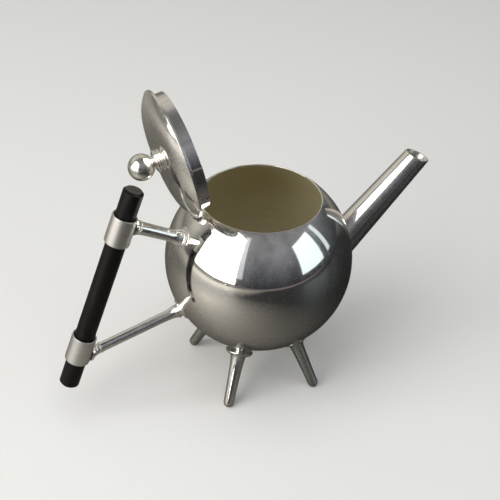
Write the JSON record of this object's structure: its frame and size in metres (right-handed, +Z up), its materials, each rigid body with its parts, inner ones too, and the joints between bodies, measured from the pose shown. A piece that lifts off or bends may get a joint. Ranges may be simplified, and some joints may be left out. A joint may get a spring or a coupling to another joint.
{
  "type": "teapot",
  "caption": "Ball-shaped silver teapot on turned legs, with a straight tapering spout, a rod handle on struts and a hinged lid with a ball finial.",
  "frame": {"origin": "on the table plane, under the middle of the ball body", "axes": "+X to the spout, -X to the handle, +Z up"},
  "size_m": [0.2317, 0.11, 0.2013],
  "materials": {
    "polished_silver": "hand polished silver plate, mirror bright with fine polishing marks",
    "satin_silver": "satin silver plate",
    "ebony": "waxed black hardwood with fine open grain",
    "brass_pin": "filed flush"
  },
  "bodies": {
    "root": {"body_shell": "polished_silver", "spout": "polished_silver", "upper_strut_flange": "polished_silver", "upper_strut_ring": "polished_silver", "upper_strut": "polished_silver", "upper_strut_bead": "polished_silver", "upper_saddle": "polished_silver", "lower_strut_flange": "polished_silver", "lower_strut_ring": "polished_silver", "lower_strut": "polished_silver", "lower_strut_bead": "polished_silver", "lower_saddle": "polished_silver", "upper_collar": "satin_silver", "lower_collar": "satin_silver", "upper_pin": "brass_pin", "lower_pin": "brass_pin", "handle_rod": "ebony", "leg_front_left": "polished_silver", "leg_front_right": "polished_silver", "leg_rear_left": "polished_silver", "leg_rear_right": "polished_silver", "leg_disc_front_left": "polished_silver", "leg_disc_front_right": "polished_silver", "leg_disc_rear_left": "polished_silver", "leg_disc_rear_right": "polished_silver", "hinge_lugs": "polished_silver", "hinge_pin": "polished_silver"},
    "lid": {"lid_dome": "polished_silver", "lid_bezel": "polished_silver", "lid_knuckle": "polished_silver", "finial_ring": "polished_silver", "finial": "polished_silver"}
  },
  "joints": [
    {"name": "lid_hinge", "type": "hinge", "parent": "root", "child": "lid", "pos_m": [-0.04127, 0, 0.1266], "axis": [0, 1, 0], "range_deg": [0, 103.5]}
  ]
}
